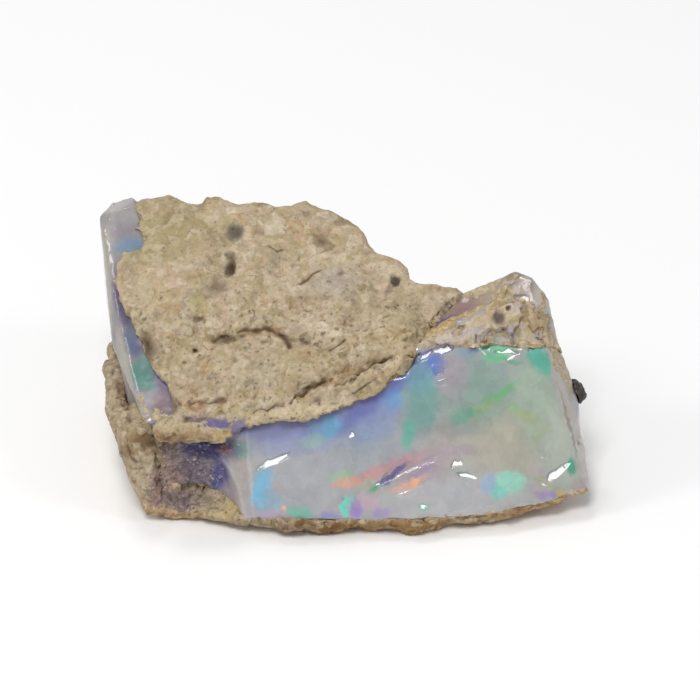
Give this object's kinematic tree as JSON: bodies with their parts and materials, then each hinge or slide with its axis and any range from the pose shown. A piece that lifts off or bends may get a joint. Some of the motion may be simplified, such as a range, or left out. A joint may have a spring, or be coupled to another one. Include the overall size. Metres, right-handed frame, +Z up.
{
  "type": "rough opal specimen",
  "caption": "Rough precious opal with broken glassy faces and play of colour, capped by sandy host rock, on a brown rock crust; a hand specimen that rests on its flat base.",
  "frame": {"origin": "middle of the specimen's base, on the surface it rests on", "axes": "+Z up; +X along the specimen's length, towards the pointed peak; -Y towards the large broken opal face"},
  "size_m": [0.0394, 0.0222, 0.0186],
  "materials": {
    "precious_opal": "glassy, translucent, with patches of green, blue, violet and orange play of colour",
    "sandy_rock": "matt, broken, sandy grains",
    "brown_crust": "matt, broken, brown iron stain",
    "ridge_rock": "matt, broken, orange-brown stain",
    "black_grain": "dark, slightly shiny"
  },
  "bodies": {
    "root": {"opal": "precious_opal", "cap_rock": "sandy_rock", "base_rock": "brown_crust", "peak_rock": "ridge_rock", "dark_grain": "black_grain"}
  },
  "joints": []
}
